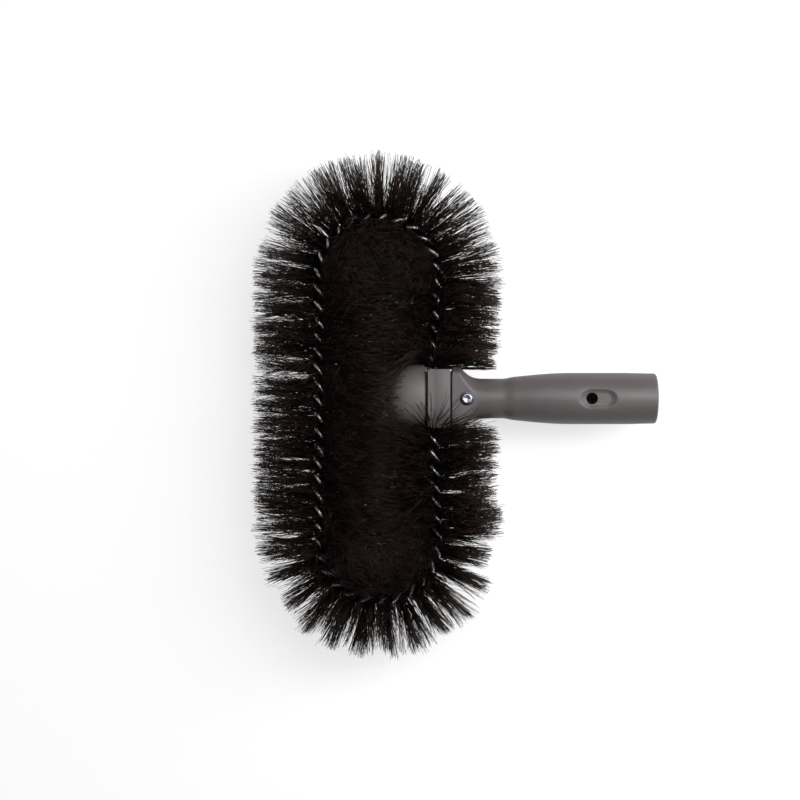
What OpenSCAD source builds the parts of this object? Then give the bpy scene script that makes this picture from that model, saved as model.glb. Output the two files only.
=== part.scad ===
// Cobweb brush: a loop of twisted-in-wire brush clamped to the end of a moulded grip with a pole socket.
// Millimetres. X runs along the grip and out of its mouth, Y runs up the loop, Z points to the screw side.
// The origin is the centre of the socket's mouth.

/* [Grip] */
// Length of the grip from the mouth of the socket to the face of the flare
grip_len = 132.6; // [130:0.1:145]
// Largest radius of the grip
grip_r = 16.7; // [16:0.1:18]
// Radius of the waisted neck
neck_r = 12.9; // [12.8:0.1:13.6]
// Radius of the flare that meets the clamp block
flare_r = 21.2; // [19:0.1:22]
// Radius of the pole socket
socket_r = 12.6; // [10:0.1:13]
// Depth of the pole socket
socket_depth = 70; // [50:1:74]
// Distance from the mouth to the hole for the pole's snap button
button_x = 42.8; // [38:0.1:46]
// Radius of the hole for the pole's snap button
button_r = 3.8; // [3:0.1:4.5]

/* [Clamp] */
// Length of the clamp block along the grip
block_len = 14.3; // [14:0.1:16]
// Height of the clamp block across the loop
block_h = 37.8; // [36:0.1:40]
// Open gap between the clamp block and the flare
back_gap = 1.4; // [1:0.1:2]
// Open gap between the clamp block and the nose cap
front_gap = 1.7; // [1.2:0.1:1.8]
// Half of the nose cap's height across the loop
cap_r = 22.1; // [21:0.1:22.5]
// Half of the nose cap's thickness
cap_t = 15; // [14:0.1:18]
// Length of the nose cap
cap_len = 26; // [24:0.5:30]

/* [Brush loop] */
// Distance between the two long sides of the loop, wire to wire
loop_w = 76.8; // [76:0.2:84]
// Height of the upper bend's centre above the grip's axis
upper_y = 79; // [70:1:100]
// Depth of the lower bend's centre below the grip's axis
lower_y = 92; // [70:1:100]
// Distance from the wire ends to the middle line of the loop
port_to_middle = 35; // [34:0.5:36]
// Diameter of each core wire
wire_d = 2.6; // [2.4:0.1:2.8]
// Length in which the pair of wires makes one full turn
twist_pitch = 20.5; // [18:0.1:24]
// Reach of the bristles from the middle of the core
bristle_reach = 42.3; // [38:0.1:44]

/* [Hidden] */
$fn = 64;

grip_colour = [0.40, 0.385, 0.39];
steel_colour = [0.70, 0.70, 0.74];
wire_colour = [0.55, 0.55, 0.56];
bristle_colour = [0.13, 0.10, 0.09];

// Places along X, from the mouth of the socket inwards
flare_x = -grip_len;
block_x1 = flare_x - back_gap;
block_x0 = block_x1 - block_len;
cap_x = block_x0 - front_gap;
nose_x = cap_x - cap_len;
screw_x = flare_x + 9.4;
port_x = block_x0 + 2.8;
middle_x = port_x - port_to_middle;

// Flats of the flare, of the clamp block and of its tongue
flat_z = neck_r + 0.05;
tongue_len = 22.6;
tongue_h = 17.8;
tongue_t = 13.8;
fit_gap = 0.2;
// Plinths on both faces of the clamp block, which leave only a groove of each gap
groove_depth = 2.2;
plinth_h = 33.8;
front_plinth_t = 15.6;
plinth_gap = 0.1;

// Screws, nut, washer and sleeves
screw_r = 2.0;
screw_hole_r = 2.15;
pilot_r = 2.02;
head_r = 3.6;
head_h = 2.3;
washer_r = 4.4;
washer_t = 0.9;
spot_r = 4.7;
spot_depth = 0.6;
nut_flats = 7.0;
nut_t = 3.2;
nose_head_r = 3.9;
nose_head_h = 2.6;
nose_screw_len = 27;
sleeve_r = 4.7;
sleeve_y0 = 5.2;
sleeve_len = 11;
channel_r = sleeve_r + 0.05;

// Core: two wires on a helix, with a ribbon of pinched fill between them
wire_r = wire_d / 2;
helix_r = wire_r + 0.9;
sleeve_bore_r = helix_r + wire_r + 0.05;
// Steps in a turn: not a whole number, so that strands of successive turns point between each other
steps_a_turn = 7.6;
twist_phase = 112;
ribbon_half_w = 2.4;
ribbon_half_t = 0.3;
// Each strand stands for a tuft: it is slim as far as its knee, where its neighbours have turned away,
// and widens from there to its tip. Half of the tip along the core, and half of it across
knee_reach = 5.5;
tip_half_t = 3.2;
tip_half_w = 1.4;
// Half thickness of the knee, and the most of a tip's, in steps, so that strands stay apart
knee_steps = 0.46;
tip_steps = 1.4;
// The brush lies on its bristles, which are cut flat there
floor_z = -(bristle_reach - 0.5);

// ---------------------------------------------------------------- route of the core

bend_r = loop_w / 2;
wire_end_y = 5.2;
channel_end_y = 4.2;
port_y = 20;

// Angle at which the tangent from the port meets a bend whose centre is dy away from the port
function tangent_angle(dy) =
    let(d = norm([port_to_middle, dy]))
    acos(bend_r / d) - atan2(dy, port_to_middle);
function tangent_len(dy) = sqrt(pow(port_to_middle, 2) + dy * dy - bend_r * bend_r);
function arc_len(angle) = bend_r * angle * PI / 180;

upper_dy = upper_y - port_y;
lower_dy = lower_y - port_y;
upper_turn = tangent_angle(upper_dy);
lower_turn = tangent_angle(lower_dy);

// Lengths of the route's stretches: stub, slant, bend, long side, bend, slant, stub
stretches = [
    port_y - wire_end_y,
    tangent_len(upper_dy),
    arc_len(180 - upper_turn),
    upper_y + lower_y,
    arc_len(180 - lower_turn),
    tangent_len(lower_dy),
    port_y - wire_end_y
];
function sum_to(list, n) = n <= 0 ? 0 : list[n - 1] + sum_to(list, n - 1);
ends = [for (k = [0:len(stretches)]) sum_to(stretches, k)];
route_len = ends[len(stretches)];
ring_count = round(route_len / twist_pitch * steps_a_turn);
ring_step = route_len / ring_count;

// Heading of the route at the distance s from the upper wire end, and the point there
function heading(s) =
    s < ends[1] ? 90
    : s < ends[2] ? 90 + upper_turn
    : s < ends[3] ? 90 + upper_turn + (s - ends[2]) / bend_r * 180 / PI
    : s < ends[4] ? 270
    : s < ends[5] ? 270 + (s - ends[4]) / bend_r * 180 / PI
    : s < ends[6] ? 450 - lower_turn
    : 450;
function on_bend(s) = (s > ends[2] && s < ends[3]) || (s > ends[4] && s < ends[5]);
function along(from, s, at) = from + (s - at) * [cos(heading(s)), sin(heading(s)), 0];
function round_bend(y, s) = [middle_x, y, 0] + bend_r * [sin(heading(s)), -cos(heading(s)), 0];
function route(s) =
    s < ends[1] ? [port_x, wire_end_y + s, 0]
    : s < ends[2] ? along([port_x, port_y, 0], s, ends[1])
    : s < ends[3] ? round_bend(upper_y, s)
    : s < ends[4] ? [middle_x - bend_r, upper_y - (s - ends[3]), 0]
    : s < ends[5] ? round_bend(-lower_y, s)
    : s < ends[6] ? along([port_x, -port_y, 0], s, ends[6])
    : [port_x, -port_y + (s - ends[6]), 0];

// Directions square to the route: out of the loop, and at an angle turned from there towards +Z
function outward(s) = [sin(heading(s)), -cos(heading(s)), 0];
function turned(s, angle) = cos(angle) * outward(s) + sin(angle) * [0, 0, 1];
function twist(s) = twist_phase + 360 * s / twist_pitch;

// ---------------------------------------------------------------- meshes of the core and bristles

function quad(a, b, c, d) = [[a, b, c], [a, c, d]];

// One wire of the pair: a six-sided tube on the helix
wire_sides = 6;
module core_wire(side) {
    lay = atan(2 * PI * helix_r / twist_pitch);
    points = [for (i = [0:ring_count]) let(
        s = i * ring_step,
        a = twist(s) + side,
        radial = turned(s, a),
        forward = cos(lay) * [cos(heading(s)), sin(heading(s)), 0] + sin(lay) * turned(s, a + 90),
        across = cross(forward, radial),
        centre = route(s) + helix_r * radial
    ) for (k = [0:wire_sides - 1]) let(b = 360 * k / wire_sides)
        centre + wire_r * (cos(b) * radial + sin(b) * across)
    ];
    last = ring_count * wire_sides;
    faces = [
        for (k = [1:wire_sides - 2]) [0, k, k + 1],
        for (k = [1:wire_sides - 2]) [last, last + k + 1, last + k],
        for (i = [0:ring_count - 1], k = [0:wire_sides - 1]) let(
            a = i * wire_sides + k,
            b = i * wire_sides + (k + 1) % wire_sides
        ) each quad(a, a + wire_sides, b + wire_sides, b)
    ];
    color(wire_colour) polyhedron(points, faces, convexity = 10);
}

// How far a bristle may reach before the middle of the loop or of a bend stops it
middle_gap = 1.4;
bend_clear = 8;
function inner_room(s) = on_bend(s) ? bend_r - bend_clear : abs(route(s)[0] - middle_x) - middle_gap;
function trim(s) = 1.6 * pow(sin(s * 47), 2);
function strand_len(s, angle) = min(
    bristle_reach - trim(s),
    cos(angle) < -0.01 ? (inner_room(s) - tip_half_w * abs(sin(angle))) / -cos(angle) : bristle_reach
);
function on_floor(base, tip) =
    tip[2] >= floor_z ? tip : base + (tip - base) * (floor_z - base[2]) / (tip[2] - base[2]);

// Ring of the ribbon: two corners, the middle, two corners, the middle
ring_points = 6;
function ribbon_ring(s) = let(f = turned(s, twist(s) + 90), g = turned(s, twist(s))) [
    for (p = [[1, 1], [1, -1], [0, -1], [-1, -1], [-1, 1], [0, 1]])
        route(s) + ribbon_half_w * p[0] * f + ribbon_half_t * p[1] * g
];
// Four corners of the knee or the tip of the strand that grows from one edge of the ribbon, matched to
// that edge's corners
function strand_ring(s0, side, corners, knee) = let(
    s = s0 + ring_step / 2,
    a = twist(s) + 90 + side,
    reach = knee ? knee_reach : strand_len(s, a),
    centre = route(s) + reach * turned(s, a),
    // Inside a bend the steps close up towards its centre, and the strands narrow with them
    step = ring_step * (on_bend(s) ? 1 + reach * cos(a) / bend_r : 1),
    half_t = knee ? knee_steps * step : min(tip_half_t, tip_steps * step),
    forward = half_t * [cos(heading(s)), sin(heading(s)), 0],
    across = (knee ? ribbon_half_t : tip_half_w) * turned(s, a - 90)
) [
    for (k = [0:3]) on_floor(
        corners[k],
        centre + (k < 2 ? -1 : 1) * forward + (k == 0 || k == 3 ? 1 : -1) * across
    )
];

// A length of fill: the ribbon's slice from ring i0 to ring i1, with a strand on both edges of each step
module bristles(i0, i1) {
    n = i1 - i0;
    rings = [for (i = [i0:i1]) ribbon_ring(i * ring_step)];
    strands = [for (j = [0:n - 1], side = [0, 180], knee = [true, false]) let(c = side / 60) strand_ring(
        (i0 + j) * ring_step, side,
        [rings[j][c], rings[j][c + 1], rings[j + 1][c + 1], rings[j + 1][c]], knee
    )];
    strands_at = ring_points * (n + 1);
    end = ring_points * n;
    faces = [
        each quad(5, 2, 1, 0),
        each quad(5, 4, 3, 2),
        each quad(end, end + 1, end + 2, end + 5),
        each quad(end + 2, end + 3, end + 4, end + 5),
        // Both wide faces are cut from the middle of one ring to the corner of the next, so they can't meet
        for (j = [0:n - 1], k = [[2, 1], [2, 3], [5, 4], [5, 0]]) let(
            m = j * ring_points + k[0],
            c = j * ring_points + k[1]
        ) each (k[1] == 1 || k[1] == 4)
            ? quad(m, m + ring_points, c + ring_points, c)
            : quad(m, c, c + ring_points, m + ring_points),
        for (j = [0:n - 1], side = [0, 1]) let(
            v = j * ring_points + 3 * side,
            base = [v, v + 1, v + 1 + ring_points, v + ring_points],
            t = strands_at + (2 * j + side) * 8
        ) each [
            // The root is thin and turns, so both its wide faces are cut the same way
            for (k = [0:2]) each quad(base[k], base[k + 1], t + k + 1, t + k),
            each quad(base[0], t, t + 3, base[3]),
            for (k = [0:3]) let(next = (k + 1) % 4) each quad(t + k, t + next, t + 4 + next, t + 4 + k),
            each quad(t + 4, t + 5, t + 6, t + 7)
        ]
    ];
    color(bristle_colour) polyhedron(
        concat([for (r = rings) each r], [for (t = strands) each t]), faces, convexity = 20);
}

// Rings at which the lengths of fill begin and end
fill_start = stretches[0] + 6.4;
function ring_at(s) = round(s / ring_step);
fill_rings = [
    ceil(fill_start / ring_step),
    ring_at(ends[2]),
    ring_at((ends[2] + ends[3]) / 2),
    ring_at(ends[3]),
    ring_at((ends[3] + ends[4]) / 2),
    ring_at(ends[4]),
    ring_at((ends[4] + ends[5]) / 2),
    ring_at(ends[5]),
    ring_count - ceil(fill_start / ring_step)
];

module core_wire_a() { core_wire(0); }
module core_wire_b() { core_wire(180); }
module bristles_right_upper() { bristles(fill_rings[0], fill_rings[1]); }
module bristles_top_right() { bristles(fill_rings[1], fill_rings[2]); }
module bristles_top_left() { bristles(fill_rings[2], fill_rings[3]); }
module bristles_left_upper() { bristles(fill_rings[3], fill_rings[4]); }
module bristles_left_lower() { bristles(fill_rings[4], fill_rings[5]); }
module bristles_bottom_left() { bristles(fill_rings[5], fill_rings[6]); }
module bristles_bottom_right() { bristles(fill_rings[6], fill_rings[7]); }
module bristles_right_lower() { bristles(fill_rings[7], fill_rings[8]); }

// ---------------------------------------------------------------- grip

// Turns a profile of [radius, X] points round the grip's axis
module turned_on_x(profile) { rotate([0, 90, 0]) rotate_extrude() polygon(profile); }
module bore_x(r, x0, x1) { translate([x0, 0, 0]) rotate([0, 90, 0]) cylinder(r = r, h = x1 - x0); }
module box(x, y, z) { translate([x[0], y[0], z[0]]) cube([x[1] - x[0], y[1] - y[0], z[1] - z[0]]); }

function smooth(t) = t * t * (3 - 2 * t);
function blend_points(a, b, n) = [for (i = [1:n]) let(t = i / n)
    [a[0] + (b[0] - a[0]) * smooth(t), a[1] + (b[1] - a[1]) * t]];
// As above, but the rise is steep at first and then levels off
function swell_points(a, b, n) = [for (i = [1:n]) let(t = i / n)
    [a[0] + (b[0] - a[0]) * sin(90 * t), a[1] + (b[1] - a[1]) * t]];

// Outline of the grip: a flare that curves into the neck, a small step up to the grip, a soft swell
flare_rim = 5;
flare_run = 15;
flare_curve = 2.6;
neck_x = flare_x + flare_rim + flare_run;
neck_end = [neck_r, -100];
grip_start = [14.3, -90.5];
grip_full_a = [grip_r, -54.2];
grip_full_b = [grip_r, -22.2];
mouth_edge = 1.8;
mouth_r = grip_r - 0.35;
flare_chamfer = 0.8;
flare_points = [for (i = [0:12]) let(u = 1 - i / 12)
    [neck_r + (flare_r - neck_r) * pow(u, flare_curve), neck_x - flare_run * u]];
mouth_points = [for (a = [0:15:90])
    [mouth_r - mouth_edge + mouth_edge * cos(a), -mouth_edge + mouth_edge * sin(a)]];
grip_outline = concat(
    [[0, flare_x], [flare_r - flare_chamfer, flare_x], [flare_r, flare_x + flare_chamfer]],
    flare_points,
    [neck_end],
    blend_points(neck_end, grip_start, 7),
    swell_points(grip_start, grip_full_a, 10),
    [grip_full_b],
    blend_points(grip_full_b, [mouth_r, -mouth_edge], 6),
    [for (i = [1:len(mouth_points) - 1]) mouth_points[i]],
    [[0, 0]]
);

// Finger recess round the button hole: a long oval with sloping walls, whose floor ramps up to the mouth
recess_x = button_x - 4.6;
recess_len = 16.6;
recess_w = 8.2;
recess_z = 14.1;
recess_slope = 1.5;
recess_tilt = 2.6;
cut_depth = 4;
module finger_recess() {
    translate([-recess_x, 0, recess_z]) rotate([0, -recess_tilt, 0]) hull() for (side = [-1, 1])
        translate([side * (recess_len - recess_w) / 2, 0, 0]) cylinder(
            r1 = recess_w / 2, r2 = recess_w / 2 + cut_depth * recess_slope, h = cut_depth, $fn = 32);
}
core_r = 7;
core_x = -103;
module handle() {
    color(grip_colour) difference() {
        turned_on_x(grip_outline);
        for (z = [flat_z, -flat_z - flare_r])
            box([flare_x - 1, neck_x + 0.5], [-flare_r, flare_r], [z, z + flare_r]);
        bore_x(socket_r, -socket_depth, 1);
        bore_x(core_r, core_x, -socket_depth + 1);
        box([flare_x - 1, flare_x + tongue_len - back_gap + 0.4],
            [-tongue_h / 2 - fit_gap, tongue_h / 2 + fit_gap],
            [-tongue_t / 2 - fit_gap, tongue_t / 2 + fit_gap]);
        translate([screw_x, 0, -flare_r]) cylinder(r = screw_hole_r, h = 2 * flare_r);
        translate([screw_x, 0, flat_z - spot_depth]) cylinder(r = spot_r, h = 5);
        translate([screw_x, 0, -flat_z - 1])
            cylinder(d = (nut_flats + fit_gap) / cos(30), h = nut_t + 1.4, $fn = 6);
        translate([-button_x, 0, 0]) cylinder(r = button_r, h = 30);
        finger_recess();
    }
}

// ---------------------------------------------------------------- clamp

block_corner = 2;
block_bevel = 5;
bevel_drop = 2.4;
module block_outline() {
    translate([block_x0 + block_corner, 0]) for (side = [-1, 1])
        translate([0, side * (block_h / 2 - block_corner)]) circle(r = block_corner);
    translate([block_x0, -block_h / 2 + block_corner]) square([block_len, block_h - 2 * block_corner]);
    translate([block_x0 + block_corner, -block_h / 2]) square([block_len - block_corner, block_h]);
}
module clamp_block() {
    color(grip_colour) difference() {
        union() {
            intersection() {
                translate([0, 0, -flat_z]) linear_extrude(height = 2 * flat_z) block_outline();
                rotate([90, 0, 0]) translate([0, 0, -block_h]) linear_extrude(height = 2 * block_h) polygon([
                    [block_x0, flat_z - bevel_drop], [block_x0 + block_bevel, flat_z], [block_x1, flat_z],
                    [block_x1, -flat_z], [block_x0 + block_bevel, -flat_z], [block_x0, -flat_z + bevel_drop]
                ]);
            }
            box([block_x1 - 1, flare_x - plinth_gap],
                [-plinth_h / 2, plinth_h / 2],
                [-flat_z + groove_depth, flat_z - groove_depth]);
            box([cap_x + plinth_gap, block_x0 + 1],
                [-plinth_h / 2, plinth_h / 2],
                [-front_plinth_t / 2, front_plinth_t / 2]);
            box([block_x1 - 1, block_x1 + tongue_len],
                [-tongue_h / 2, tongue_h / 2],
                [-tongue_t / 2, tongue_t / 2]);
        }
        for (side = [0, 1]) mirror([0, side, 0]) translate([0, channel_end_y, 0]) {
            translate([port_x, 0, 0]) rotate([-90, 0, 0]) cylinder(r = channel_r, h = block_h);
            box([cap_x, port_x], [0, block_h], [-channel_r, channel_r]);
        }
        bore_x(screw_hole_r, cap_x, block_x1 + 1);
        bore_x(nose_head_r + 0.4, block_x1 - 3.3, block_x1 + tongue_len + 1);
        translate([screw_x, 0, -flare_r]) cylinder(r = screw_hole_r, h = 2 * flare_r);
    }
}

cap_wall = 2.6;
cap_straight = 7.5;
cap_edge = 0.8;
boss_r = 5.5;
boss_len = 17;
pad_t = 10.4;
pad_len = 9;
pad_inset = 2.2;
// Solid dome along -X on an oval base, whose base edge is drawn in by edge
dome_sides = 40;
module oval_dome(half_h, half_t, base_x, shoulder_x, end_x, edge) {
    profile = concat(
        [[edge, base_x], [0, base_x - max(edge, 0.4)]],
        [for (a = [0:9:81]) [half_t * (1 - cos(a)), shoulder_x - (shoulder_x - end_x) * sin(a)]]
    );
    rings = len(profile);
    // Both half axes shrink by the same share towards the end
    points = concat(
        [for (p = profile, k = [0:dome_sides - 1]) let(a = 360 * k / dome_sides, share = 1 - p[0] / half_t)
            [p[1], half_h * share * cos(a), half_t * share * sin(a)]],
        [[base_x, 0, 0], [end_x, 0, 0]]
    );
    faces = [
        for (i = [0:rings - 2], k = [0:dome_sides - 1]) let(
            a = i * dome_sides + k,
            b = i * dome_sides + (k + 1) % dome_sides
        ) each quad(a, b, b + dome_sides, a + dome_sides),
        for (k = [0:dome_sides - 1]) let(
            n = (k + 1) % dome_sides,
            last = (rings - 1) * dome_sides
        ) each [[n, k, len(points) - 2], [last + k, last + n, len(points) - 1]]
    ];
    polyhedron(points, faces, convexity = 4);
}
module nose_cap() {
    shoulder_x = cap_x - cap_straight;
    color(grip_colour) difference() {
        union() {
            difference() {
                oval_dome(cap_r, cap_t, cap_x, shoulder_x, nose_x, cap_edge);
                oval_dome(
                    cap_r - cap_wall, cap_t - cap_wall, cap_x + 1, shoulder_x, nose_x + cap_wall, 0);
            }
            bore_x(boss_r, cap_x - boss_len, cap_x);
            box([cap_x - pad_len, cap_x],
                [-cap_r + pad_inset, cap_r - pad_inset],
                [-pad_t / 2, pad_t / 2]);
        }
        translate([port_x, -cap_r - 1, 0]) rotate([-90, 0, 0]) cylinder(r = channel_r, h = 2 * cap_r + 2);
        bore_x(pilot_r, cap_x - boss_len + 1, cap_x + 1);
    }
}

// ---------------------------------------------------------------- fasteners and sleeves

module cross_recess(size) {
    for (turn = [0, 90]) rotate([0, 0, turn]) translate([-size / 2, -0.5, -1.2]) cube([size, 1, 3]);
}
// Screw along +Z with its seat at the origin: a button head above it and the shank below
module screw(r, h, shank_len) {
    difference() {
        union() {
            rotate_extrude() polygon(concat(
                [[0, 0], [r, 0]],
                [for (a = [0:15:90]) [r - 1 + cos(a), h - 1.3 + 1.3 * sin(a)]],
                [[0, h]]));
            translate([0, 0, -shank_len]) cylinder(r = screw_r, h = shank_len + 0.5);
        }
        translate([0, 0, h]) cross_recess(1.3 * r);
    }
}

washer_z = flat_z - spot_depth;
module clamp_screw() {
    seat_z = washer_z + washer_t;
    color(steel_colour) translate([screw_x, 0, seat_z]) screw(head_r, head_h, seat_z + flat_z - 0.7);
}
module screw_washer() {
    color(steel_colour) translate([screw_x, 0, washer_z]) difference() {
        cylinder(r = washer_r, h = washer_t);
        translate([0, 0, -1]) cylinder(r = screw_hole_r, h = washer_t + 2);
    }
}
module clamp_nut() {
    color(steel_colour) translate([screw_x, 0, -flat_z + 0.4]) difference() {
        cylinder(d = nut_flats / cos(30), h = nut_t - 0.1, $fn = 6);
        translate([0, 0, -1]) cylinder(r = pilot_r, h = nut_t + 2);
    }
}
module nose_screw() {
    color(steel_colour) translate([block_x1 - 3.3, 0, 0]) rotate([0, 90, 0])
        screw(nose_head_r, nose_head_h, nose_screw_len);
}
module end_sleeve() {
    color(wire_colour) translate([port_x, sleeve_y0, 0]) rotate([-90, 0, 0]) difference() {
        cylinder(r = sleeve_r, h = sleeve_len);
        translate([0, 0, -1]) cylinder(r = sleeve_bore_r, h = sleeve_len + 2);
    }
}
module end_sleeve_upper() { end_sleeve(); }
module end_sleeve_lower() { mirror([0, 1, 0]) end_sleeve(); }

handle();
clamp_block();
nose_cap();
clamp_screw();
screw_washer();
clamp_nut();
nose_screw();
end_sleeve_upper();
end_sleeve_lower();
core_wire_a();
core_wire_b();
bristles_right_upper();
bristles_top_right();
bristles_top_left();
bristles_left_upper();
bristles_left_lower();
bristles_bottom_left();
bristles_bottom_right();
bristles_right_lower();
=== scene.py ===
"""Cobweb brush: a loop of twisted-in-wire brush in a moulded clamp on a grip with a pole socket.

Metres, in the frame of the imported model: X out of the socket's mouth, Y up the loop, Z out of the
face with the clamp screw. The brush lies on a pale floor, seen square from above.
"""

import math

import bmesh
import bpy
import numpy as np
from bpy.props import FloatProperty, FloatVectorProperty, PointerProperty
from bpy.types import Operator, Panel, PropertyGroup
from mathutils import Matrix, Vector


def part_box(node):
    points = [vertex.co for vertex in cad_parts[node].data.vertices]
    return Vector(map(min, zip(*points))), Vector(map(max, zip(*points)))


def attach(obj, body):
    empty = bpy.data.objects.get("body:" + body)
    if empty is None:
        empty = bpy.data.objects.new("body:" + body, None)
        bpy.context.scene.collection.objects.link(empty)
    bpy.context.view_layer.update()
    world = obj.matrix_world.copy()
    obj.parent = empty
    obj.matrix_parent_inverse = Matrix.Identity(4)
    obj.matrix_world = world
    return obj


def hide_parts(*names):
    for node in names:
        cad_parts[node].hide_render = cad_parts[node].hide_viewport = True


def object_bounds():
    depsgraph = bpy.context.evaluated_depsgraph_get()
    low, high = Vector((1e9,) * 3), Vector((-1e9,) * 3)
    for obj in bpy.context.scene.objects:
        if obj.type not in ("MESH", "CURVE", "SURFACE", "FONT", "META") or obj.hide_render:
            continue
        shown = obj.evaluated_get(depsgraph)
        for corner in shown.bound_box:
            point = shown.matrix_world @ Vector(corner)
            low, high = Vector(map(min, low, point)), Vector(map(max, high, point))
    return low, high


bl_info = {
    "name": "Cobweb brush",
    "version": (1, 0, 0),
    "blender": (4, 5, 0),
    "location": "3D View > Sidebar > Brush",
    "description": "Builds the looks of a cobweb brush round its packed parts",
    "category": "Object",
}

MM = 0.001

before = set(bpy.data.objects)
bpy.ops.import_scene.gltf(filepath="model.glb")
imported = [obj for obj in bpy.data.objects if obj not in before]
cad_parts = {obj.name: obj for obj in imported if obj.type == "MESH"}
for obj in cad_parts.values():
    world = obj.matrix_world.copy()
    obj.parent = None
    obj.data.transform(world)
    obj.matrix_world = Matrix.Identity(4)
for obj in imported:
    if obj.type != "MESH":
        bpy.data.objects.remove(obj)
CAD_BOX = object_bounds()
SLEEVE_LOW, SLEEVE_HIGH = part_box("end_sleeve_upper")
BLOCK_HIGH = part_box("clamp_block")[1]
CAP_LOW, CAP_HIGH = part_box("nose_cap")
GRIP_LOW, GRIP_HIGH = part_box("handle")


# ---------------- sizes and colours


def number_prop(name, description, default, **more):
    return FloatProperty(name=name, description=description, default=default, **more)


def length_prop(name, description, default):
    return number_prop(name, description, default, min=0, unit="LENGTH", precision=5)


def angle_prop(name, description, degrees):
    return number_prop(name, description, math.radians(degrees), subtype="ANGLE")


def colour_prop(name, description, default):
    return FloatVectorProperty(
        name=name, description=description, default=default, min=0, max=1, subtype="COLOR"
    )


class GripSizes(PropertyGroup):
    """Outline of the grip, from the flare at the clamp to the mouth of the pole socket."""

    radius: length_prop("Grip radius", "Largest radius of the grip", GRIP_HIGH.z)
    neck_r: length_prop("Neck radius", "Radius of the waisted neck", 12.9 * MM)
    flare_r: length_prop("Flare radius", "Radius of the flare that meets the clamp block", GRIP_HIGH.y)
    flat_z: length_prop("Flat", "Level of the flare's two flats", BLOCK_HIGH.z)
    chamfer: length_prop("Flat's edge", "Depth of the chamfer between the flats and the flare", 1.3 * MM)
    socket_r: length_prop("Socket radius", "Radius of the pole socket", 12.6 * MM)
    socket_depth: length_prop("Socket depth", "Depth of the pole socket", 70 * MM)
    button_x: length_prop("Button hole", "Distance from the mouth to the snap button's hole", 42.8 * MM)
    button_r: length_prop("Button hole radius", "Radius of the snap button's hole", 3.8 * MM)


class LoopSizes(PropertyGroup):
    """Route and twist of the core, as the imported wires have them."""

    width: length_prop("Loop width", "Distance between the two long sides, wire to wire", 76.8 * MM)
    upper_y: length_prop("Upper bend", "Height of the upper bend's centre above the grip's axis", 79 * MM)
    lower_y: length_prop("Lower bend", "Depth of the lower bend's centre below the grip's axis", 92 * MM)
    to_middle: length_prop("Clamp to middle", "From the wire ends to the loop's middle line", 35 * MM)
    stub_y: length_prop("Stub", "Height above the grip's axis at which the core begins to slant", 20 * MM)
    wire_d: length_prop("Wire diameter", "Diameter of each core wire", 2.6 * MM)
    wire_gap: length_prop("Pinch", "Gap between the two wires, filled by the pinched bristles", 1.8 * MM)
    pitch: length_prop("Twist pitch", "Length in which the pair of wires makes one turn", 20.5 * MM)
    phase: angle_prop("Twist phase", "Angle of the first wire at the upper wire end", 112)


class BristleSizes(PropertyGroup):
    """The filaments that the wires hold."""

    reach: length_prop("Reach", "From the middle of the core to the trimmed tips", 42.3 * MM)
    thickness: length_prop("Thickness", "Diameter of a filament near the core", 0.42 * MM)
    per_mm: number_prop("Filaments", "Filaments in each millimetre of core, on both sides", 80, min=1)
    spread: angle_prop("Spread", "How far the tufts fan out round the core", 16)
    stray: angle_prop("Stray spread", "How far the looser tufts fan out round the core", 42)
    stray_share: number_prop(
        "Stray share", "Share of the tufts that fan out loosely", 0.5, min=0, max=1, subtype="FACTOR"
    )
    lean: angle_prop("Lean", "How far the tufts lean along the core", 6.2)


class BrushColours(PropertyGroup):
    """Colours of the materials, as they show under plain white light; the nose cap's is painted lighter
    for the light its dome catches, and the washer's dark for shade.
    """

    grip: colour_prop("Grip", "Moulded plastic of the grip and clamp block", (0.108, 0.094, 0.095))
    # The nose cap's colour is the grip's made lighter: painted light for the light its dome catches
    cap: colour_prop("Nose cap", "Moulded plastic of the nose cap", (0.138, 0.121, 0.121))
    plated: colour_prop("Plated steel", "Zinc plate of the screws and the nut", (0.38, 0.38, 0.45))
    # The washer's dark blue-grey is painted shade round the screw head
    washer: colour_prop("Washer", "Dark blue-grey steel of the washer", (0.06, 0.065, 0.10))
    wire: colour_prop("Core wire", "Galvanised wire of the core", (0.66, 0.65, 0.64))
    bristle: colour_prop("Bristle", "Brown-black filament", (0.0155, 0.0093, 0.0070))
    tip: colour_prop("Bristle tip", "Filament near its cut end", (0.028, 0.0160, 0.0125))


# ---------------- shader helpers


def put(tree, kind, **settings):
    """A new node of that kind, with settings for its properties."""
    made = tree.nodes.new(kind)
    for key, value in settings.items():
        setattr(made, key, value)
    return made


def feed(node, values):
    """node, with its inputs given {name: a socket, a number or the three numbers of a colour}."""
    for key, value in values.items():
        if isinstance(value, (int, float)):
            node.inputs[key].default_value = value
        elif isinstance(value, tuple):
            node.inputs[key].default_value = (*value, 1)
        else:
            node.id_data.links.new(value, node.inputs[key])
    return node


def maths(tree, operation, a, b, clamp=False):
    """Result of one sum on two sockets or numbers."""
    made = put(tree, "ShaderNodeMath", operation=operation, use_clamp=clamp)
    return feed(made, {0: a, 1: b}).outputs[0]


def between(tree, value, low, high, to_low=0.0, to_high=1.0):
    """value, mapped from the range low to high onto to_low to to_high and clamped there."""
    made = put(tree, "ShaderNodeMapRange", clamp=True)
    ends = {"From Min": low, "From Max": high, "To Min": to_low, "To Max": to_high}
    return feed(made, {"Value": value, **ends}).outputs["Result"]


def mixed(tree, factor, a, b):
    """Colour between a and b. Each is a socket or three numbers."""
    made = put(tree, "ShaderNodeMix", data_type="RGBA")
    return feed(made, {0: factor, 6: a, 7: b}).outputs[2]


def shade(colour, factor):
    return tuple(min(1.0, c * factor) for c in colour)


def noise(tree, vector, scale, detail=3.0, roughness=0.5):
    """Value of a noise over vector. scale is a socket or a number, in cells a metre."""
    made = put(tree, "ShaderNodeTexNoise")
    values = {"Vector": vector, "Scale": scale, "Detail": detail, "Roughness": roughness}
    return feed(made, values).outputs["Fac"]


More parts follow.
